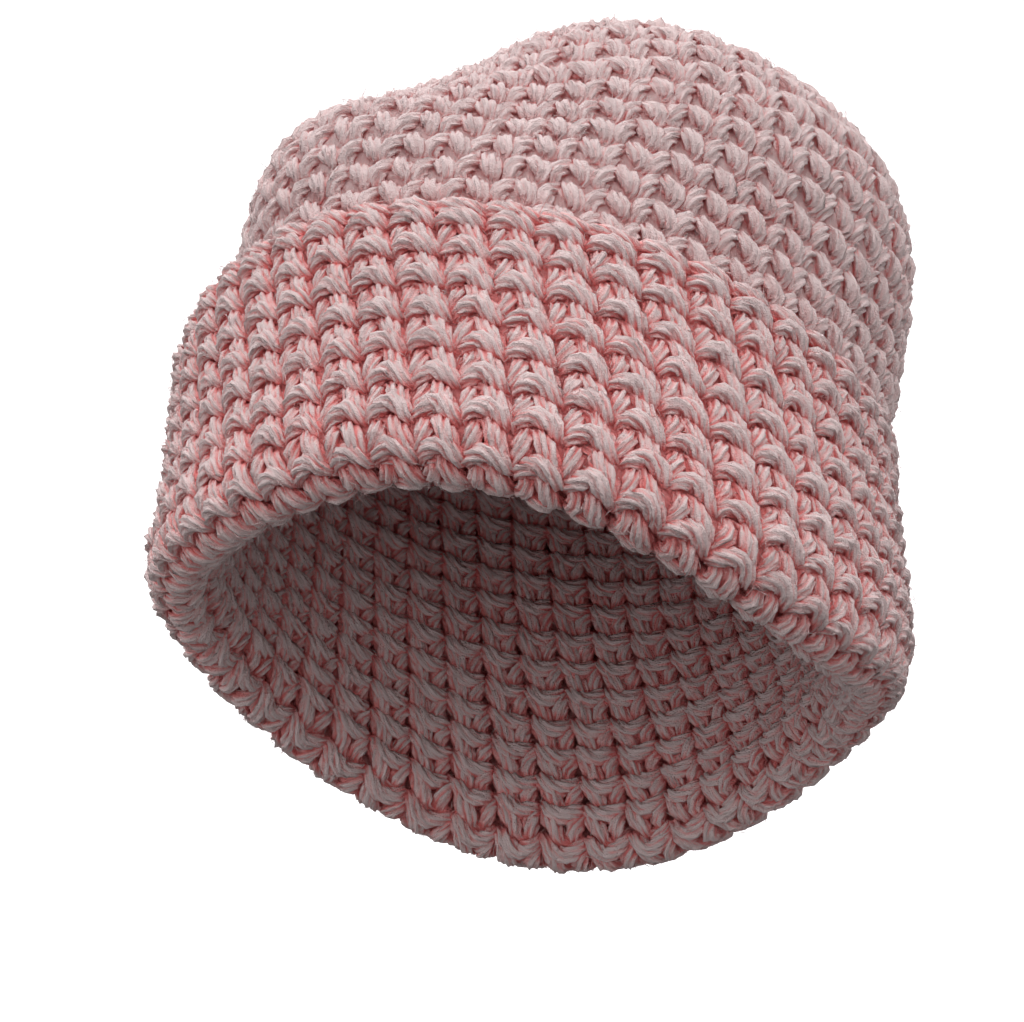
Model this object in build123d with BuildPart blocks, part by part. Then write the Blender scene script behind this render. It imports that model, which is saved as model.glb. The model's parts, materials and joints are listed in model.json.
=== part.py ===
"""Crocheted beanie with a turned-up cuff, as worn tilted back on a small head.

The beanie is worked in rounds of single crochet from the crown's centre down to the brim, and each
round is a ring of fabric in its own node. The brim is folded outwards and up, so the last rounds
lie over the side as the cuff. Millimetres, +Z up along the head, the front is -Y, and the origin
is the centre of the head that wears the beanie.
"""

import os
from math import atan2, cos, degrees, pi, radians, sin, sqrt

from build123d import *

# The head that wears the beanie is 38 cm around
head_radius = 60.5

# Fabric and yarn
fabric_thickness = 6.6
yarn_diameter = 3.0
round_gap = 0.3  # clear space between neighbouring rounds
layer_gap = 0.4  # clear space between the side and the cuff
round_corner = 2.2  # rounding of a round's section

# Rounds, counted from the crown's centre along the fabric
crown_rounds = 12  # the rounds that grow
side_rounds = 16  # the rounds of full width, down to the fold
cuff_rounds = 7  # the rounds above the fold, on the outside
first_round_radius = 3.7
start_loop_radius = 3.0
cuff_pitch = 6.9  # the cuff is stretched, so its rounds are further apart than the slack side's

# Pose on the head
tilt_back = 38.6  # degrees, the crown towards the back
tilt_side = 5.0  # degrees, the crown towards +X
fold_height = -10.0  # the fold's centre line, measured along the beanie's axis from the head's centre
brim_forward = 1.0  # the brim sits a little forward of the head's centre
brim_ease = 1.0  # the brim is this much wider than the head

# Side and crown, to the middle of the fabric, in the beanie's own axes
side_radius = 65.5
shoulder_height = 67.5  # where the side turns into the crown
crown_height = 52.0  # from the shoulder to the crown's top
slouch_left = 4.5  # the side leans this far to -X on its way up
slouch_span = (-5.0, 45.0)  # the heights between which it leans
cuff_flare = 1.0  # the cuff stands out this much further at its free edge
edging_radius = 2.2  # the chain along the cuff's free edge
fold_rounding = 1.0  # rounding of the fold section's two upper corners

# Yarn ends woven in
tail_gap = 0.25  # from a woven end to the fabric beside it
start_tail_span = (9.0, 40.0)  # from and to, along the crown from its centre
finish_tail_turn = 38.0  # degrees around the cuff, at the back

# Worked out
half_fabric = fabric_thickness / 2
yarn_radius = yarn_diameter / 2
brim_radius = head_radius + brim_ease + half_fabric
fold_radius = half_fabric + layer_gap / 2
fold_middle = brim_radius + fold_radius
cuff_radius = fold_middle + fold_radius


def smooth(value, low, high):
    """0 up to low, 1 from high, with a smooth change between them."""
    share = min(max((value - low) / (high - low), 0.0), 1.0)
    return share * share * (3 - 2 * share)


# The beanie's own axes: up through the crown, level to the side, and forward
hat_axis = Vector(
    sin(radians(tilt_side)),
    sin(radians(tilt_back)) * cos(radians(tilt_side)),
    cos(radians(tilt_back)) * cos(radians(tilt_side)),
)
hat_right = hat_axis.cross(Vector(0, -1, 0)).normalized()
hat_front = hat_right.cross(hat_axis)


def centre_at(height):
    """The centre of a round at a height along the beanie's axis."""
    left = slouch_left * smooth(height, *slouch_span)
    return hat_axis * height - hat_right * left + hat_front * brim_forward


def section_plane(height):
    """The plane of a round's section: x is the radius, y runs along the beanie's axis."""
    return Plane(origin=centre_at(height), x_dir=-hat_front, z_dir=hat_right)


def axis_at(height):
    """The axis that the round at a height turns about."""
    return Axis(centre_at(height), hat_axis)


def keep(part, name):
    """Label a finished sub-part and write it."""
    part.label = name
    export_step(part, f"parts/{name}.step")


def fabric_round(name, line, distance, pitch):
    """One round of fabric, at a distance along the fabric's middle line."""
    place = line.position_at(distance, position_mode=PositionMode.LENGTH)
    along = line.tangent_at(distance, position_mode=PositionMode.LENGTH)
    turn = degrees(atan2(-along.X, along.Y))
    with BuildPart() as ring:
        with BuildSketch(section_plane(place.Y)):
            with Locations((place.X, 0)):
                RectangleRounded(fabric_thickness, pitch - round_gap, round_corner, rotation=turn)
        revolve(axis=axis_at(place.Y))
    keep(ring.part, name)


os.makedirs("parts", exist_ok=True)

# Middle of the fabric, as radius and height: the crown from its centre, then the side
with BuildLine() as body:
    EllipticalCenterArc((0, shoulder_height), side_radius, crown_height, start_angle=90, arc_size=-90)
    Line((side_radius, shoulder_height), (brim_radius, fold_height))
body_line = body.wires()[0]
quarter_fold = pi / 2 * fold_radius
to_fold = body_line.length + quarter_fold
body_pitch = (to_fold - first_round_radius) / (crown_rounds + side_rounds)

for number in range(crown_rounds + side_rounds):
    if number < crown_rounds:
        round_name = f"crown_round_{number + 1:02d}"
    else:
        round_name = f"side_round_{number + 1 - crown_rounds:02d}"
    fabric_round(round_name, body_line, first_round_radius + number * body_pitch, body_pitch)

# The round that turns the fabric over: the lower part of the fold's rounded section
outer_fold = fold_radius + half_fabric
fold_top = body_pitch / 2 - quarter_fold - round_gap / 2
above_fold = 2 * outer_fold
with BuildPart() as fold_round:
    with BuildSketch(section_plane(fold_height)) as fold_section:
        with Locations((fold_middle, 0)):
            Circle(outer_fold)
        with Locations((fold_middle, fold_top)):
            Rectangle(
                2 * above_fold, above_fold, align=(Align.CENTER, Align.MIN), mode=Mode.SUBTRACT
            )
        fillet(fold_section.vertices(), radius=fold_rounding)
    revolve(axis=axis_at(fold_height))
keep(fold_round.part, "fold_round")

# The cuff, from the fold up
cuff_length = cuff_rounds * cuff_pitch
first_cuff_round = (body_pitch + cuff_pitch) / 2 - quarter_fold
with BuildLine() as cuff:
    Line((cuff_radius, fold_height), (cuff_radius + cuff_flare, fold_height + cuff_length))
cuff_line = cuff.wires()[0]
for number in range(cuff_rounds):
    fabric_round(
        f"cuff_round_{number + 1:02d}",
        cuff_line,
        first_cuff_round + number * cuff_pitch,
        cuff_pitch,
    )

# The chain of the last loops along the free edge
edging_height = fold_height + first_cuff_round - cuff_pitch / 2 + cuff_length + edging_radius
edging_middle = cuff_radius + cuff_flare
with BuildPart() as cuff_edging:
    with BuildSketch(section_plane(edging_height)):
        with Locations((edging_middle, 0)):
            Circle(edging_radius)
    revolve(axis=axis_at(edging_height))
keep(cuff_edging.part, "cuff_edging")

# The closed loop that the first round is worked into, on the inside of the crown's centre
loop_height = shoulder_height + crown_height - half_fabric - yarn_radius - tail_gap
with BuildPart() as start_loop:
    with BuildSketch(section_plane(loop_height)):
        with Locations((start_loop_radius, 0)):
            Circle(yarn_radius)
    revolve(axis=axis_at(loop_height))
keep(start_loop.part, "start_loop")


def inside_crown(distance):
    """A point beside the crown's inner face, at a distance along the crown, towards the back."""
    place = body_line.position_at(distance, position_mode=PositionMode.LENGTH)
    along = body_line.tangent_at(distance, position_mode=PositionMode.LENGTH)
    inward = Vector(along.Y, -along.X) * (half_fabric + yarn_radius + 2 * tail_gap)
    spot = place + inward
    return centre_at(place.Y) + hat_axis * (spot.Y - place.Y) - hat_front * spot.X


# The yarn's first end, woven in along the inside of the crown
tail_start, tail_end = start_tail_span
with BuildPart() as start_tail:
    with BuildLine() as start_path:
        ThreePointArc(
            inside_crown(tail_start), inside_crown((tail_start + tail_end) / 2), inside_crown(tail_end)
        )
    with BuildSketch(Plane(origin=start_path.line @ 0, z_dir=start_path.line % 0)):
        Circle(yarn_radius)
    sweep()
keep(start_tail.part, "start_tail")

# The yarn's last end, woven in at the back, in the groove between the cuff's edge and the side
tail_radius = side_radius + half_fabric + yarn_radius + tail_gap
tail_reach = edging_radius + yarn_radius + tail_gap
tail_height = edging_height + sqrt(tail_reach**2 - (edging_middle - tail_radius) ** 2)
with BuildPart() as finish_tail:
    with BuildSketch(section_plane(tail_height)):
        with Locations((tail_radius, 0)):
            Circle(yarn_radius)
    revolve(axis=axis_at(tail_height), revolution_arc=finish_tail_turn)
keep(finish_tail.part, "finish_tail")

print(f"rounds {body_pitch:.2f} mm apart on the body and {cuff_pitch:.2f} mm on the cuff")
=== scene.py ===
import json
from math import atan2, cos, pi, radians, sin

import bpy
import numpy as np
from mathutils import Matrix, Vector


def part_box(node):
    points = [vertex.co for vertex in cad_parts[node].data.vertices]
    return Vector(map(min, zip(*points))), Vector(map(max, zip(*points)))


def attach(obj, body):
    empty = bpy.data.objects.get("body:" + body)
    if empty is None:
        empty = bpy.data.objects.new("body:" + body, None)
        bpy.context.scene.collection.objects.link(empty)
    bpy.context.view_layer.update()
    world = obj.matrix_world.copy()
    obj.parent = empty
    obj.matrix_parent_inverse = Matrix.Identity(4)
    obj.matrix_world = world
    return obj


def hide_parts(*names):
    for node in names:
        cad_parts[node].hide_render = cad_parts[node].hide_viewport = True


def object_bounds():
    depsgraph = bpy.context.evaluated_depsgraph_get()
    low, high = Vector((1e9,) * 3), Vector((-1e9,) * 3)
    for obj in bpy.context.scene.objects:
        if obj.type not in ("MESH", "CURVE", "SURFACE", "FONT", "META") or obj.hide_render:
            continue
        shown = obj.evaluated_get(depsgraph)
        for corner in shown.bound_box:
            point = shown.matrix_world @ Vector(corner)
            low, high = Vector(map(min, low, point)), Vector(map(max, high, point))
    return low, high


# Crocheted beanie with a turned-up cuff. Every round of single crochet is worked here in yarn, one
# closed path of loops per round, along the ring that the CAD model gives it. Metres, +Z up.
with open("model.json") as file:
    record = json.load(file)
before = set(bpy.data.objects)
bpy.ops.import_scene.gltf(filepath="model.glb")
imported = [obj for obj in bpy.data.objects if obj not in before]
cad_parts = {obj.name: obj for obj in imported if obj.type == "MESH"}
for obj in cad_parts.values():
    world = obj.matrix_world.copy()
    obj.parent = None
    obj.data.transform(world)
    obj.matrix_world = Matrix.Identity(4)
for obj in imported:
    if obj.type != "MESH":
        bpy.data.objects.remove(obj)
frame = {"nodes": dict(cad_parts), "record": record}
cad_low, cad_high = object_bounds()

# Yarn
YARN_RADIUS = 0.00174
LOOP_REACH = 0.0011  # one step of depth in the stitch tables
PLIES = 6
PLY_SIDES = 4  # corners of a ply's outline
PLY_GROOVE = 0.66  # radius in the groove between two plies, as a share of the full radius
PLY_ROUNDNESS = 0.7  # power of the sine that a ply's outline follows
TWIST_PITCH = 0.024  # length of one turn of the plies
PATH_STEP = 0.0014  # spacing of a yarn's cross-sections
CURVE_STEPS = 6  # samples between two control points of a loop
FUZZ_HEIGHT = 0.10  # unevenness of the yarn's surface, as a share of its radius
SEED = 11

# The yarn is coloured by its depth from the middle of the fabric, shifted by these, in metres: painted
# shade, salmon deep in the holes and pale on the crests
GROOVE_PAINTED_SHADE = 0.9  # painted shade in the grooves between plies: coloured deeper by this share of their real depth
RIGHT_SIDE_FLUFF_AND_LIGHT = 0.0020  # paler on the right side, where fluff fills the holes: less painted shade there, and the body's outside painted paler, as light from above makes it
FUZZ_PAINTED_LIGHT = 0.0006  # painted highlight: paler on the raised fibres
FIBRE_PAINTED_LIGHT = 0.0012  # paler on the loose fibres, which carry less painted shade than the yarn under them
HOLE_DEPTH = 0.0008  # the depth with the colour of a hole, the deepest painted shade
CREST_DEPTH = 0.0042  # the depth with the colour of a loop's crest, free of painted shade

# Loose fibres that stand off the yarn; shares of a fibre's length are along, out and sideways
FIBRES_PER_STITCH = 90
FIBRES_PER_LOOP = 100  # on the start loop
FIBRES_PER_TAIL = 300
FIBRE_RADIUS = 0.00008
FIBRE_LENGTH = (0.0014, 0.0040)
FIBRE_LIFT = (0.1, 0.6)
FIBRE_SWAY = 0.8
FIBRE_MIDDLE = (0.45, 0.35, 0.2)
FIBRE_TIP = (0.9, 0.45, 0.8)
FIBRE_ROOT = 0.0001  # how deep a fibre starts

# The felted fibres inside the fabric, with depths from its middle, + on the right side
FLUFF_THICKNESS = 0.0008
FLUFF_DEPTH_BODY = 0.0016
FLUFF_DEPTH_CUFF = -0.0012
FLUFF_SHADE_BODY = 0.0032  # the depth that sets its painted shade on the body; the next sets it on the cuff, deep salmon
FLUFF_SHADE_CUFF = 0.0004
FLUFF_LUMPS = 0.0002
FLUFF_ROW_STEP = 0.25  # in rounds
FLUFF_COLUMNS = 312
FLUFF_FIBRE_SCALE = 40

# The two woven ends
TAIL_POINTS = 12
TAIL_DEPTH = 0.0042  # from the middle of the fabric
START_TAIL_ROUND = 1.5  # the round at which the starting end begins
FINISH_TAIL_TURNS = (-pi, -2.48)  # from the back, towards -X
LOOP_POINTS = 12  # control points of the start loop

# Stage, light and camera
FLOOR_HEIGHT = -0.16
FLOOR_RADIUS = 1.8  # where the floor starts to rise into the backdrop
FLOOR_RISE = 0.8  # radius of that rise
BACKDROP_HEIGHT = 2.2
FLOOR_SIDES = 48
SKY_START = -0.25  # height in the sky at which it starts to brighten, from -1 to 1
SKY_BELOW = 0.22
SKY_ABOVE = 2.10
LAMP_PLACE = (-0.25, 0.50, 1.25)
LAMP_SIZE = 1.4
LAMP_POWER = 3
CAMERA_AZIMUTH = radians(12)
CAMERA_ELEVATION = radians(8)
CAMERA_ROLL = radians(-4.9)
CAMERA_DISTANCE = 0.700
CAMERA_LENS = 123.9
CAMERA_AIM = (-0.00569, 0.02112)  # to the right and up of the origin, as the camera sees it

# Rounds, from the crown's centre to the cuff's free edge
CROWN, SIDE, CUFF = [
    sorted(name for name in frame["nodes"] if name.startswith(part))
    for part in ("crown_round_", "side_round_", "cuff_round_")
]
ROUNDS = CROWN + SIDE + ["fold_round"] + CUFF
EDGING = "cuff_edging"
FOLD = ROUNDS.index("fold_round")
FULL_COUNT = 48
CROWN_COUNTS = [6, 12, 18, 24, 24, 30, 30, 36, 36, 42, 42, 48]
COUNTS = CROWN_COUNTS + [FULL_COUNT] * (len(ROUNDS) - len(CROWN_COUNTS))
ROUND_DRIFT = -0.13  # each round starts this many stitches further along than the one before

# A crocheter's unevenness: of each point along the round, along the fabric and in depth, and of
# each whole stitch in the same three ways
POINT_SHAKE = (0.020, 0.018, 0.00010)
STITCH_TENSION = (0.025, 0.05, 0.06)
TWIN_SPREAD = 0.35  # how far two stitches in one hole stand apart at their feet
FOOT_BLEND = (0.15, 0.65)  # the part of a stitch that shares the place of the round before

# One single crochet as control points: along the round in stitch widths, along the fabric in
# rounds, depth in steps of LOOP_REACH (+ is the right side), and the yarn's plumpness
STITCH = (
    (-0.50, 0.34, -0.90, 0.85),
    (-0.40, 0.18, -1.50, 1.02),
    (-0.24, -0.08, -1.90, 1.15),
    (-0.08, -0.36, -1.55, 1.00),
    (-0.02, -0.60, -0.80, 0.75),
    (-0.02, -0.72, 0.10, 0.70),
    (-0.10, -0.58, 1.30, 1.00),
    (-0.28, -0.24, 1.95, 1.25),
    (-0.32, 0.10, 1.50, 1.12),
    (-0.16, 0.34, 0.10, 0.75),
    (0.08, 0.38, -0.50, 0.70),
    (0.34, 0.28, 0.30, 0.85),
    (0.44, 0.02, 1.55, 1.16),
    (0.30, -0.28, 2.10, 1.28),
    (0.08, -0.60, 1.50, 1.00),
    (0.06, -0.74, -0.10, 0.65),
    (0.13, -0.60, -0.80, 0.75),
    (0.22, -0.34, -1.50, 1.00),
    (0.30, -0.02, -1.80, 1.15),
    (0.26, 0.20, -1.00, 0.90),
    (0.12, 0.38, -0.20, 0.75),
    (0.06, 0.52, 0.20, 0.75),
    (0.28, 0.62, 0.60, 0.85),
    (0.55, 0.60, 0.75, 0.90),
    (0.86, 0.48, 0.35, 0.80),
    (0.98, 0.40, -0.15, 0.70),
    (0.94, 0.30, -1.20, 0.85),
    (0.78, 0.52, -2.15, 1.08),
    (0.52, 0.68, -2.40, 1.16),
    (0.24, 0.55, -2.15, 1.06),
    (0.06, 0.32, -1.20, 0.85),
    (0.16, 0.26, -0.50, 0.75),
)

# One chain of the edging, in the same terms
CHAIN = (
    (0.00, 0.05, 0.30, 0.90),
    (0.22, 0.14, 1.25, 1.00),
    (0.60, 0.12, 1.40, 1.05),
    (0.95, 0.02, 0.80, 0.95),
    (1.10, 0.00, -0.05, 0.85),
    (0.95, 0.02, -1.00, 1.00),
    (0.60, 0.12, -1.80, 1.15),
    (0.22, 0.12, -1.60, 1.10),
    (0.02, 0.00, -0.60, 0.85),
    (0.20, -0.25, -0.30, 0.80),
    (0.60, -0.30, 0.00, 0.80),
)

# How the worn beanie differs from even rings: waves around the brim and the cuff's free edge, as
# (mean, (cosine, sine), ...) in millimetres, with the angle counted from the front towards +X
BRIM_LIFT = (5, (-2, -5), (-3, -3), (5, 0))
BRIM_OUT = (4, (-6, -4), (2, 4))
EDGE_LIFT = (2, (3, 0), (0, -3))
EDGE_OUT = (-1, (0, -3), (1, 1))
MILLIMETRE = 0.001
BRIM_FADE = 10  # rounds from the fold to where the brim's waves end
EDGE_FADE = 8
SLOUCH_FADE = 2

# Hollows and bulges of the slouching crown: turn in degrees from the front, round number counted
# from the centre, reach and height in millimetres
SLOUCH = (
    (-30, 9, 12, -9),  # the dent at the crown's upper left
    (20, 8, 15, 4),  # the high front of the crown
    (50, 9, 17, 5),  # its right shoulder
    (75, 11, 16, 6),  # the slack on the right
    (0, 17, 17, 2),  # the swelling just above the cuff
    (0, 12.5, 15, -6),  # the hollow above that swelling
    (-40, 14.5, 16, 5),  # the bulge on the left
    (-60, 17, 13, -2),  # where the left side is drawn in
)


def mount_axis(name):
    """The direction of one of the record's mounts."""
    mount = next(m for m in frame["record"]["mounts"] if m["name"] == name)
    return Vector(mount["axis"]).normalized()


HAT_AXIS = np.array(-mount_axis("opening"))
HAT_RIGHT = np.cross(HAT_AXIS, (0.0, -1.0, 0.0))
HAT_RIGHT /= np.linalg.norm(HAT_RIGHT)
HAT_FRONT = np.cross(HAT_RIGHT, HAT_AXIS)


def ring_of(node):
    """A round's centre to the right and front, its inner and outer radius, its low and high end."""
    mesh = frame["nodes"][node].data
    points = np.empty(3 * len(mesh.vertices))
    mesh.vertices.foreach_get("co", points)
    points = points.reshape(-1, 3)
    across = points @ HAT_RIGHT
    ahead = points @ HAT_FRONT
    height = points @ HAT_AXIS
    centre_right = (across.max() + across.min()) / 2
    centre_front = (ahead.max() + ahead.min()) / 2
    radius = np.hypot(across - centre_right, ahead - centre_front)
    return (centre_right, centre_front, radius.min(), radius.max(), height.min(), height.max())


def meridian_points():
    """The middle of the fabric at each round: radius, height, centre to the right and front."""
    rings = np.array([ring_of(name) for name in ROUNDS + [EDGING]])
    thickness = rings[FOLD - 2, 3] - rings[FOLD - 2, 2]
    radius = (rings[:, 2] + rings[:, 3]) / 2
    height = (rings[:, 4] + rings[:, 5]) / 2
    height[FOLD] = rings[FOLD, 4] + thickness / 2
    points = np.stack([radius, height, rings[:, 0], rings[:, 1]], -1)
    before = points[0] * (0, 1, 1, 1) - (points[0, 0] - 0.2 * YARN_RADIUS, 0, 0, 0)
    after = 2 * points[-1] - points[-2]
    return np.vstack([before, points, after])


MERIDIAN = meridian_points()
BODY_PITCH = np.linalg.norm(MERIDIAN[FOLD - 3, :2] - MERIDIAN[FOLD - 4, :2])


def along_meridian(rounds):
    """The fabric's middle and its direction at round numbers, which may be between two rounds."""
    place = np.clip(rounds + 1, 0.001, len(MERIDIAN) - 1.001)
    index = np.floor(place).astype(int)
    t = (place - index)[..., None]
    last = len(MERIDIAN) - 1
    p0 = MERIDIAN[np.clip(index - 1, 0, last)]
    p1 = MERIDIAN[index]
    p2 = MERIDIAN[np.clip(index + 1, 0, last)]
    p3 = MERIDIAN[np.clip(index + 2, 0, last)]
    bend = 2 * p0 - 5 * p1 + 4 * p2 - p3
    jerk = 3 * p1 - p0 - 3 * p2 + p3
    middle = (2 * p1 + (p2 - p0) * t + bend * t**2 + jerk * t**3) / 2
    slope = ((p2 - p0) + 2 * bend * t + 3 * jerk * t**2) / 2
    return middle, slope


def smooth(value, low, high):
    """0 up to low, 1 from high, with a smooth change between them."""
    share = np.clip((value - low) / (high - low), 0, 1)
    return share * share * (3 - 2 * share)


def wave(turn, terms):
    """A sum of waves around the beanie, from millimetres."""
    total = terms[0]
    for number, (cosine, sine) in enumerate(terms[1:], 1):
        total = total + cosine * np.cos(number * turn) + sine * np.sin(number * turn)
    return total * MILLIMETRE


def fabric(turn, rounds, depth):
    """Places on the worn fabric and its right side's direction there."""
    turn, rounds, depth = np.broadcast_arrays(turn, rounds, depth)
    middle, slope = along_meridian(rounds)
    length = np.hypot(slope[..., 0], slope[..., 1])
    out_radius = -slope[..., 1] / length
    out_height = slope[..., 0] / length
    brim = 1 - smooth(np.abs(rounds - FOLD), 0, BRIM_FADE)
    edge = smooth(rounds, FOLD, FOLD + EDGE_FADE)
    radius = np.maximum(middle[..., 0], 0.6 * YARN_RADIUS)
    radius = radius + wave(turn, BRIM_OUT) * brim + wave(turn, EDGE_OUT) * edge + depth * out_radius
    lift = wave(turn, BRIM_LIFT) * brim + wave(turn, EDGE_LIFT) * edge
    height = middle[..., 1] + lift + depth * out_height
    normal = np.stack([out_radius * np.sin(turn), out_radius * np.cos(turn), out_height], -1)
    place = np.stack(
        [middle[..., 2] + radius * np.sin(turn), middle[..., 3] + radius * np.cos(turn), height], -1
    )
    place = place + slouch(place, normal, rounds)
    axes = np.array([HAT_RIGHT, HAT_FRONT, HAT_AXIS])
    return place @ axes, normal @ axes


def slouch(place, normal, rounds):
    """How far the crown's hollows and bulges move the fabric."""
    total = np.zeros(place.shape[:-1])
    for turn, number, reach, height in SLOUCH:
        middle, _ = along_meridian(np.array(float(number)))
        angle = radians(turn)
        centre = (middle[2] + middle[0] * sin(angle), middle[3] + middle[0] * cos(angle), middle[1])
        distance = np.sum((place - np.array(centre)) ** 2, -1)
        total += height * np.exp(-distance / (2 * (reach * MILLIMETRE) ** 2))
    total *= MILLIMETRE * (1 - smooth(rounds, FOLD, FOLD + SLOUCH_FADE))
    return normal * total[..., None]


def round_start(number):
    """The turn at which a round's first stitch stands."""
    return sum(ROUND_DRIFT * 2 * pi / count for count in COUNTS[1 : number + 1])


def stitch_points(number, table, random):
    """Control points of a round of stitches: place, right side's direction, depth, plumpness."""
    count = COUNTS[min(number, len(COUNTS) - 1)]
    table = np.array(table)
    stitch = np.arange(count)[:, None]
    width = 2 * pi / count
    start = round_start(min(number, len(COUNTS) - 1))
    shake = random.normal(0, 1, (count, len(table), 3))
    tension = random.normal(0, 1, (count, 3, 1))
    turn = start + (stitch + 0.5 + table[:, 0]) * width
    if 0 < number < len(COUNTS):
        below = COUNTS[number - 1]
        below_width = 2 * pi / below
        parent = stitch * below // count
        twin = (stitch + 0.5) * below / count - parent - 0.5
        hole = parent + 0.5 + table[:, 0] + ROUND_DRIFT + TWIN_SPREAD * twin
        share = smooth(-table[:, 1], *FOOT_BLEND)
        turn = turn * (1 - share) + (round_start(number - 1) + hole * below_width) * share
    shake = shake * POINT_SHAKE
    tension = tension * np.array(STITCH_TENSION)[:, None]
    turn = turn + (shake[..., 0] + tension[:, 0]) * width
    rounds = number + table[:, 1] * (1 + tension[:, 1]) + shake[..., 1]
    depth = table[:, 2] * LOOP_REACH * (1 + tension[:, 2]) + shake[..., 2]
    place, normal = fabric(turn, rounds, depth)
    plump = np.broadcast_to(table[:, 3], depth.shape)
    points = np.concatenate([place, normal, depth[..., None], plump[..., None]], -1)
    return points.reshape(-1, points.shape[-1])


def smooth_path(points, closed):
    """A cubic curve through control points, with even steps along it."""
    count = len(points)
    index = np.arange(count if closed else count - 1)
    around = [(index + k) % count if closed else np.clip(index + k, 0, count - 1) for k in range(-1, 3)]
    p0, p1, p2, p3 = [points[k][:, None] for k in around]
    t = np.linspace(0, 1, CURVE_STEPS, endpoint=False)[None, :, None]
    bend = 2 * p0 - 5 * p1 + 4 * p2 - p3
    jerk = 3 * p1 - p0 - 3 * p2 + p3
    curve = (2 * p1 + (p2 - p0) * t + bend * t**2 + jerk * t**3) / 2
    curve = curve.reshape(-1, points.shape[-1])
    curve = np.vstack([curve, curve[:1] if closed else points[-1:]])
    steps = np.linalg.norm(np.diff(curve[:, :3], axis=0), axis=1)
    length = np.concatenate([[0], np.cumsum(steps)])
    amount = max(int(length[-1] / PATH_STEP), 8)
    wanted = np.linspace(0, length[-1], amount, endpoint=not closed)
    return np.stack([np.interp(wanted, length, column) for column in curve.T], -1), length[-1]


def path_frames(places, closed):
    """Directions along a path, two untwisted directions across it, and the turn at its closing."""
    along = np.roll(places, -1, 0) - np.roll(places, 1, 0)
    if not closed:
        along[0] = places[1] - places[0]
        along[-1] = places[-1] - places[-2]
    along /= np.linalg.norm(along, axis=1)[:, None]
    across = np.zeros_like(places)
    current = np.cross(along[0], HAT_AXIS + 0.3 * HAT_FRONT)
    for index, direction in enumerate(along):
        current = current - direction * (current @ direction)
        current = current / np.sqrt(current @ current)
        across[index] = current
    other = np.cross(along, across)
    closing = current - along[0] * (current @ along[0])
    return across, other, atan2(closing @ other[0], closing @ across[0])


def ply_outline():
    """Radius around a yarn's section, as a share of its own radius: one hump for each ply."""
    share = np.arange(PLY_SIDES) / PLY_SIDES
    hump = PLY_GROOVE + (1 - PLY_GROOVE) * np.sin(pi * share) ** PLY_ROUNDNESS
    return np.tile(hump, PLIES)


def tube_faces(count, sides, closed):
    """The four-sided faces of a tube with that many cross-sections."""
    first = np.arange(count if closed else count - 1)[:, None] * sides
    step = np.arange(sides)[None]
    following = (step + 1) % sides
    total = count * sides
    corners = [first + step, first + following]
    corners += [(first + sides + following) % total, (first + sides + step) % total]
    return np.stack(corners, -1).reshape(-1, 4)


def painted_shade_depth(path, radial, radius, outline, fuzz):
    """The depth in the fabric that each point of a yarn's surface is coloured by, as painted shade:
    deeper in holes and grooves, paler on raised fibres and on the right side.
    """
    depth = path[:, 6:7] + radius * np.einsum("nsk,nk->ns", radial, path[:, 3:6])
    depth = np.abs(depth) + np.where(depth > 0, RIGHT_SIDE_FLUFF_AND_LIGHT, 0)
    return depth - GROOVE_PAINTED_SHADE * (1 - outline[None]) * YARN_RADIUS + FUZZ_PAINTED_LIGHT * fuzz


def fibre_places(along, around):
    """Where each point of a yarn's surface lies along its fibres and around them."""
    shape = (len(along), len(around))
    columns = [along[:, None], np.cos(around), np.sin(around)]
    return np.stack([np.broadcast_to(column, shape) for column in columns], -1)


def yarn(name, points, nodes, random, closed=True, fibres=0):
    """A plied yarn along control points, as a piece that stands for CAD nodes."""
    path, length = smooth_path(points, closed)
    across, other, closing = path_frames(path[:, :3], closed)
    outline = ply_outline()
    sides = len(outline)
    count = len(path)
    turns = round(PLIES * length / TWIST_PITCH) / PLIES
    travel = np.arange(count) / (count if closed else count - 1)
    around = np.arange(sides) / sides * 2 * pi
    twist = travel * (turns * 2 * pi - (closing if closed else 0))
    angle = around[None] + twist[:, None]
    radial = np.cos(angle)[..., None] * across[:, None] + np.sin(angle)[..., None] * other[:, None]
    fuzz = random.normal(0, 1, (count, sides))
    radius = YARN_RADIUS * outline[None] * path[:, 7:8] * (1 + FUZZ_HEIGHT * fuzz)
    vertices = path[:, None, :3] + radial * radius[..., None]
    # The colour depth carries the painted shade of the holes, grooves and raised fibres
    depth = painted_shade_depth(path, radial, radius, outline, fuzz)
    fibre = fibre_places(travel * length, around)
    faces = tube_faces(count, sides, closed)
    parts = [(vertices.reshape(-1, 3), faces, depth.ravel(), fibre.reshape(-1, 3))]
    if not closed:
        parts.append(end_caps(vertices, depth, fibre))
    if fibres:
        parts.append(loose_fibres(vertices, radial, depth, fibre, fibres, random))
    mesh = join_mesh(name, parts)
    return add_piece(name, mesh, YARN_MATERIAL, nodes)


def end_caps(vertices, depth, fibre):
    """Fans that close the two ends of a tube: points, faces and the values kept for the points."""
    sides = vertices.shape[1]
    ring = np.arange(sides)
    following = (ring + 1) % sides
    rims = np.concatenate([vertices[0], vertices[-1]])
    middles = np.stack([vertices[0].mean(0), vertices[-1].mean(0)])
    points = np.concatenate([rims, middles])
    start = np.stack([following, ring, np.full(sides, 2 * sides)], -1)
    end = np.stack([sides + ring, sides + following, np.full(sides, 2 * sides + 1)], -1)
    shades = np.full(len(points), depth.mean())
    lies = np.tile(fibre[0, 0], (len(points), 1))
    return points, np.concatenate([start, end]), shades, lies


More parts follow.
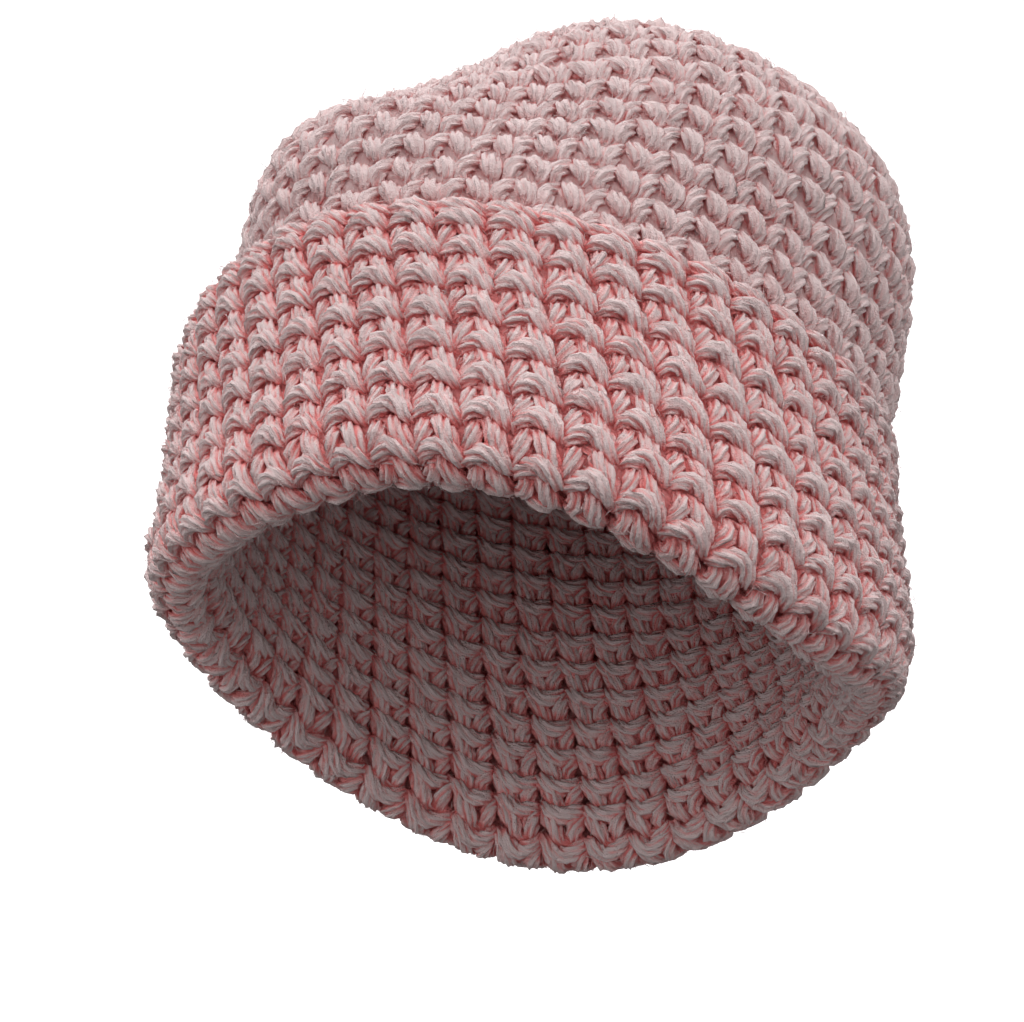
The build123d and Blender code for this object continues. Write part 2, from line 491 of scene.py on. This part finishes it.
def loose_fibres(vertices, radial, depth, fibre, amount, random):
    """Fine hairs that leave the yarn's surface: points, faces and the values kept for the points."""
    count, sides = depth.shape
    row = random.integers(1, count - 3, amount)
    column = random.integers(0, sides, amount)
    root = vertices[row, column]
    out = radial[row, column]
    along = vertices[row + 1, column] - vertices[row - 1, column]
    along /= np.linalg.norm(along, axis=1)[:, None]
    along *= random.choice((-1.0, 1.0), amount)[:, None]
    side = np.cross(along, out)
    length = random.uniform(*FIBRE_LENGTH, amount)[:, None]
    lift = random.uniform(*FIBRE_LIFT, amount)[:, None]
    sway = random.normal(0, FIBRE_SWAY, amount)[:, None]
    root = root - FIBRE_ROOT * out
    middle, tip = [
        root + length * (ahead * along + raised * lift * out + aside * sway * side)
        for ahead, raised, aside in (FIBRE_MIDDLE, FIBRE_TIP)
    ]
    corners = [root]
    for corner in range(3):
        angle = corner * 2 * pi / 3
        corners.append(middle + FIBRE_RADIUS * (cos(angle) * out + sin(angle) * side))
    points = np.stack(corners + [tip], 1)
    first = np.arange(amount)[:, None] * 5
    pattern = [(0, 2, 1), (0, 3, 2), (0, 1, 3), (4, 1, 2), (4, 2, 3), (4, 3, 1)]
    triangles = (first[..., None] + np.array(pattern)[None]).reshape(-1, 3)
    shades = np.repeat(depth[row, column] + FIBRE_PAINTED_LIGHT, 5)
    lies = np.repeat(fibre[row, column], 5, axis=0)
    return points.reshape(-1, 3), triangles, shades, lies


def join_mesh(name, parts):
    """One smooth mesh from several sets of points and faces."""
    mesh = bpy.data.meshes.new(name)
    points = np.concatenate([part[0] for part in parts])
    mesh.vertices.add(len(points))
    mesh.vertices.foreach_set("co", points.astype(np.float32).ravel())
    corners, starts = [], []
    offset, used = 0, 0
    for place, faces, _, _ in parts:
        corners.append((faces + offset).ravel())
        starts.append(used + np.arange(len(faces)) * faces.shape[1])
        offset += len(place)
        used += faces.size
    corners, starts = np.concatenate(corners), np.concatenate(starts)
    mesh.loops.add(len(corners))
    mesh.loops.foreach_set("vertex_index", corners.astype(np.int32))
    mesh.polygons.add(len(starts))
    mesh.polygons.foreach_set("loop_start", starts.astype(np.int32))
    mesh.polygons.foreach_set("use_smooth", np.ones(len(starts), dtype=bool))
    mesh.update(calc_edges=True)
    # The depth attribute holds the painted shade that the yarn's colour is taken from
    store(mesh, "depth", "FLOAT", np.concatenate([part[2] for part in parts]))
    store(mesh, "fibre", "FLOAT_VECTOR", np.concatenate([part[3] for part in parts]))
    return mesh


def store(mesh, name, kind, values):
    """Keeps a value for each corner point of a mesh."""
    attribute = mesh.attributes.new(name, kind, "POINT")
    field = "value" if kind == "FLOAT" else "vector"
    attribute.data.foreach_set(field, np.ascontiguousarray(values, dtype=np.float32).ravel())


def add_piece(name, mesh, material, nodes):
    """Puts a mesh into the scene as a piece of the beanie."""
    piece = bpy.data.objects.new(name, mesh)
    bpy.context.collection.objects.link(piece)
    mesh.materials.append(material)
    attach(piece, "root")
    if nodes:
        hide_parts(*nodes)
    return piece


def new_node(tree, kind, **values):
    """A shader node with some of its inputs set."""
    node = tree.nodes.new(kind)
    for key, value in values.items():
        node.inputs[key.replace("_", " ")].default_value = value
    return node


def new_math(tree, operation, first, second=None, third=None):
    """A maths node's output; each input is another node's output or a number."""
    node = tree.nodes.new("ShaderNodeMath")
    node.operation = operation
    for socket, value in zip(node.inputs, (first, second, third)):
        if isinstance(value, (int, float)):
            socket.default_value = value
        elif value is not None:
            tree.links.new(value, socket)
    return node.outputs[0]


def colour_ramp(tree, stops):
    """A colour ramp with the given (place, colour) stops."""
    ramp = tree.nodes.new("ShaderNodeValToRGB")
    elements = ramp.color_ramp.elements
    while len(elements) < len(stops):
        elements.new(0.5)
    for element, (place, colour) in zip(elements, stops):
        element.position = place
        element.color = (*colour, 1)
    return ramp


def fibre_streaks(tree):
    """Noise that is drawn out along the yarn's plies, like its fibres."""
    fibre = tree.nodes.new("ShaderNodeAttribute")
    fibre.attribute_name = "fibre"
    stretch = tree.nodes.new("ShaderNodeVectorMath")
    stretch.operation = "MULTIPLY"
    stretch.inputs[1].default_value = (500.0, 5.0, 5.0)
    tree.links.new(fibre.outputs["Vector"], stretch.inputs[0])
    streaks = new_node(tree, "ShaderNodeTexNoise", Scale=1.0, Detail=3.0, Roughness=0.6)
    tree.links.new(stretch.outputs[0], streaks.inputs["Vector"])
    return streaks.outputs["Fac"]


def place_noise(tree, **values):
    """Noise that is fixed to the beanie."""
    place = tree.nodes.new("ShaderNodeTexCoord")
    noise = new_node(tree, "ShaderNodeTexNoise", Detail=2.0, **values)
    tree.links.new(place.outputs["Object"], noise.inputs["Vector"])
    return noise.outputs["Fac"]


def occlusion_painted_shade(tree):
    """Painted shade from ambient occlusion: less than 0 in the creases between loops, where shade
    falls, more on their open crests.
    """
    crease = new_node(tree, "ShaderNodeAmbientOcclusion", Distance=0.0035)
    crease.samples = 4
    return new_math(tree, "MULTIPLY_ADD", crease.outputs["AO"], 1.1, -0.75)


def depth_painted_shade(tree):
    """Depth in the fabric, from 0 in its holes to 1 at the loops' crests, which sets their painted
    shade.
    """
    depth = tree.nodes.new("ShaderNodeAttribute")
    depth.attribute_name = "depth"
    share = tree.nodes.new("ShaderNodeMapRange")
    share.inputs["From Min"].default_value = HOLE_DEPTH
    share.inputs["From Max"].default_value = CREST_DEPTH
    tree.links.new(depth.outputs["Fac"], share.inputs["Value"])
    return share.outputs[0]


def yarn_material():
    """Soft plied yarn with fine fibres along it, coloured with painted shade: pale pink on the loops'
    crests, salmon in the holes and creases.
    """
    material = bpy.data.materials.new("pink_yarn")
    material.use_nodes = True
    tree = material.node_tree
    shader = tree.nodes["Principled BSDF"]
    shader.inputs["Roughness"].default_value = 0.9
    shader.inputs["Specular IOR Level"].default_value = 0.15
    shader.inputs["Sheen Weight"].default_value = 0.18
    shader.inputs["Sheen Roughness"].default_value = 0.5
    streaks = fibre_streaks(tree)
    rough = new_math(tree, "MULTIPLY_ADD", streaks, 1.0, depth_painted_shade(tree))
    clouded = new_math(tree, "MULTIPLY_ADD", place_noise(tree, Scale=60.0), 0.30, rough)
    centred = new_math(tree, "SUBTRACT", clouded, 0.74)
    tone_and_painted_shade = new_math(tree, "ADD", centred, occlusion_painted_shade(tree))
    # Painted shade: deep salmon in the holes and creases, up to the yarn's pale pink on the crests
    ramp = colour_ramp(tree, [
        (0.00, (0.98, 0.25, 0.24)),
        (0.35, (0.92, 0.43, 0.42)),
        (0.70, (0.88, 0.585, 0.575)),
        (1.00, (0.82, 0.645, 0.638)),
    ])
    tree.links.new(tone_and_painted_shade, ramp.inputs["Fac"])
    tree.links.new(ramp.outputs["Color"], shader.inputs["Base Color"])
    fluff = place_noise(tree, Scale=2600.0, Roughness=0.7)
    bump = new_node(tree, "ShaderNodeBump", Strength=1.0, Distance=0.0008)
    tree.links.new(new_math(tree, "MULTIPLY_ADD", fluff, 0.8, streaks), bump.inputs["Height"])
    tree.links.new(bump.outputs["Normal"], shader.inputs["Normal"])
    return material


YARN_MATERIAL = yarn_material()


def start_loop(random):
    """The closed ring of yarn that the first round is worked into."""
    right, front, inner, outer, low, high = ring_of("start_loop")
    radius = (inner + outer) / 2
    turn = np.linspace(0, 2 * pi, LOOP_POINTS + 1)[:-1]
    place = np.outer(right + radius * np.sin(turn), HAT_RIGHT)
    place += np.outer(front + radius * np.cos(turn), HAT_FRONT)
    place += (low + high) / 2 * HAT_AXIS
    normal = np.outer(np.ones(LOOP_POINTS), HAT_AXIS)
    rest = np.tile((-2 * LOOP_REACH, 1.0), (LOOP_POINTS, 1))
    points = np.concatenate([place, normal, rest], -1)
    return yarn("start_loop_yarn", points, ["start_loop"], random, fibres=FIBRES_PER_LOOP)


def make_rounds(random):
    """Every round of stitches, and the chain along the free edge."""
    pieces = []
    for number, name in enumerate(ROUNDS):
        points = stitch_points(number, STITCH, random)
        fibres = FIBRES_PER_STITCH * COUNTS[number]
        pieces.append(yarn(f"{name}_yarn", points, [name], random, fibres=fibres))
    points = stitch_points(len(ROUNDS), CHAIN, random)
    pieces.append(yarn(f"{EDGING}_yarn", points, [EDGING], random, fibres=fibres))
    return pieces


def floor_mesh():
    """A round floor that rises softly into a backdrop all round."""
    profile = [(FLOOR_RADIUS / 2, 0.0), (FLOOR_RADIUS, 0.0)]
    for step in range(1, 9):
        angle = step / 8 * pi / 2
        profile.append((FLOOR_RADIUS + FLOOR_RISE * sin(angle), FLOOR_RISE * (1 - cos(angle))))
    profile.append((FLOOR_RADIUS + FLOOR_RISE, BACKDROP_HEIGHT))
    angles = [2 * pi * k / FLOOR_SIDES for k in range(FLOOR_SIDES)]
    vertices = [(r * cos(a), r * sin(a), FLOOR_HEIGHT + z) for r, z in profile for a in angles]
    faces = [list(range(FLOOR_SIDES))]
    for ring in range(len(profile) - 1):
        for k in range(FLOOR_SIDES):
            a = ring * FLOOR_SIDES + k
            b = ring * FLOOR_SIDES + (k + 1) % FLOOR_SIDES
            faces.append([a, a + FLOOR_SIDES, b + FLOOR_SIDES, b])
    mesh = bpy.data.meshes.new("floor")
    mesh.from_pydata(vertices, [], faces)
    mesh.polygons.foreach_set("use_smooth", [True] * len(faces))
    return mesh


def floor_material():
    """Evenly lit pale paper."""
    material = bpy.data.materials.new("pale_floor")
    material.use_nodes = True
    shader = material.node_tree.nodes["Principled BSDF"]
    shader.inputs["Base Color"].default_value = (0.60, 0.60, 0.60, 1)
    shader.inputs["Roughness"].default_value = 0.9
    shader.inputs["Specular IOR Level"].default_value = 0.0
    shader.inputs["Emission Color"].default_value = (1, 1, 1, 1)
    shader.inputs["Emission Strength"].default_value = 0.65
    return material


def floor():
    """The pale floor and backdrop, which don't throw light up into the beanie."""
    stage = bpy.data.objects.new("floor", floor_mesh())
    bpy.context.collection.objects.link(stage)
    stage.data.materials.append(floor_material())
    stage.visible_diffuse = False


def top_light():
    """A soft square lamp above and behind, which faces the beanie's middle."""
    lamp = bpy.data.lights.new("top_light", "AREA")
    lamp.size = LAMP_SIZE
    lamp.energy = LAMP_POWER
    holder = bpy.data.objects.new("top_light", lamp)
    bpy.context.collection.objects.link(holder)
    holder.location = LAMP_PLACE
    target = (Vector(cad_low) + Vector(cad_high)) / 2
    holder.rotation_euler = (target - Vector(LAMP_PLACE)).to_track_quat("-Z", "Y").to_euler()


def sky():
    """A pale sky that is brighter overhead."""
    world = bpy.data.worlds.new("pale_sky")
    bpy.context.scene.world = world
    world.use_nodes = True
    tree = world.node_tree
    background = tree.nodes["Background"]
    background.inputs["Color"].default_value = (1, 1, 1, 1)
    place = tree.nodes.new("ShaderNodeTexCoord")
    height = tree.nodes.new("ShaderNodeSeparateXYZ")
    tree.links.new(place.outputs["Generated"], height.inputs[0])
    dome = tree.nodes.new("ShaderNodeMapRange")
    dome.inputs["From Min"].default_value = SKY_START
    dome.inputs["To Min"].default_value = SKY_BELOW
    dome.inputs["To Max"].default_value = SKY_ABOVE
    tree.links.new(height.outputs["Z"], dome.inputs["Value"])
    tree.links.new(dome.outputs[0], background.inputs["Strength"])
    bpy.context.scene.view_settings.view_transform = "Standard"


def camera():
    """The camera, level with the crown's front and a little to the right, rolled clockwise."""
    data = bpy.data.cameras.new("camera")
    data.sensor_width = 36
    data.lens = CAMERA_LENS
    data.clip_end = 20
    holder = bpy.data.objects.new("camera", data)
    bpy.context.collection.objects.link(holder)
    level = Vector((cos(CAMERA_AZIMUTH), sin(CAMERA_AZIMUTH), 0))
    back = Vector((level.y, -level.x, 0)) * cos(CAMERA_ELEVATION)
    back.z = sin(CAMERA_ELEVATION)
    upright = back.cross(level)
    right = cos(CAMERA_ROLL) * level + sin(CAMERA_ROLL) * upright
    up = cos(CAMERA_ROLL) * upright - sin(CAMERA_ROLL) * level
    location = CAMERA_DISTANCE * back
    aim = CAMERA_AIM[0] * right + CAMERA_AIM[1] * up
    facing = (location - aim).normalized()
    right = (right - facing * right.dot(facing)).normalized()
    up = facing.cross(right)
    turned = Matrix((right, up, facing)).transposed().to_4x4()
    holder.matrix_world = Matrix.Translation(location) @ turned
    bpy.context.scene.camera = holder


def fluff_sheet(random):
    """The felted fibres inside the fabric: one thin closed sheet from the crown to the free edge, which
    fills the holes with their painted shade.
    """
    rounds = np.arange(-0.9, len(ROUNDS) - 0.1, FLUFF_ROW_STEP)[:, None]
    rows = len(rounds)
    column = np.arange(FLUFF_COLUMNS)[None]
    turn = column / FLUFF_COLUMNS * 2 * pi
    cuffed = smooth(rounds, FOLD - 1, FOLD + 1)
    middle = FLUFF_DEPTH_BODY + (FLUFF_DEPTH_CUFF - FLUFF_DEPTH_BODY) * cuffed
    shade = FLUFF_SHADE_BODY + (FLUFF_SHADE_CUFF - FLUFF_SHADE_BODY) * cuffed
    shades = np.repeat(np.concatenate([shade, shade[::-1]]), FLUFF_COLUMNS)
    lumps = random.normal(0, FLUFF_LUMPS, (2, rows, FLUFF_COLUMNS))
    outer, _ = fabric(turn, rounds, middle + FLUFF_THICKNESS / 2 + lumps[0])
    inner, _ = fabric(turn, rounds, middle - FLUFF_THICKNESS / 2 + lumps[1])
    points = np.concatenate([outer, inner[::-1]]).reshape(-1, 3)
    row = np.arange(2 * rows)[:, None] * FLUFF_COLUMNS
    below = np.roll(row, -1, 0)
    following = (column + 1) % FLUFF_COLUMNS
    quads = [row + column, row + following, below + following, below + column]
    quads = np.stack(quads, -1).reshape(-1, 4)
    mesh = join_mesh("fabric_fluff", [(points, quads, shades, FLUFF_FIBRE_SCALE * points)])
    return add_piece("fabric_fluff", mesh, YARN_MATERIAL, None)


def tail(name, turns, rounds, depth, random):
    """A yarn end that lies along the fabric between two turns and two round numbers."""
    share = np.linspace(0, 1, TAIL_POINTS)
    turn = turns[0] + (turns[1] - turns[0]) * share
    place, normal = fabric(turn, rounds[0] + (rounds[1] - rounds[0]) * share, depth)
    rest = np.tile((depth, 1.0), (TAIL_POINTS, 1))
    points = np.concatenate([place, normal, rest], -1)
    return yarn(f"{name}_yarn", points, [name], random, closed=False, fibres=FIBRES_PER_TAIL)


def start_tail(random):
    """The yarn end woven along the inside of the crown, at the back."""
    low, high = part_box("start_tail")
    reach = (Vector(high) - Vector(low)).length
    rounds = (START_TAIL_ROUND, START_TAIL_ROUND + reach / BODY_PITCH)
    return tail("start_tail", (pi, pi), rounds, -TAIL_DEPTH, random)


def finish_tail(random):
    """The yarn end that lies round the back of the body, just clear of the cuff's free edge."""
    low, high = ring_of("finish_tail")[4:]
    body = np.arange(len(CROWN), FOLD)
    number = np.interp(-(low + high) / 2, -MERIDIAN[body + 1, 1], body)
    return tail("finish_tail", FINISH_TAIL_TURNS, (number, number), TAIL_DEPTH, random)


camera()
top_light()
sky()
floor()
random = np.random.default_rng(SEED)
pieces = make_rounds(random)
pieces.append(start_loop(random))
pieces.append(start_tail(random))
pieces.append(finish_tail(random))
fluff = fluff_sheet(random)
bpy.context.view_layer.update()
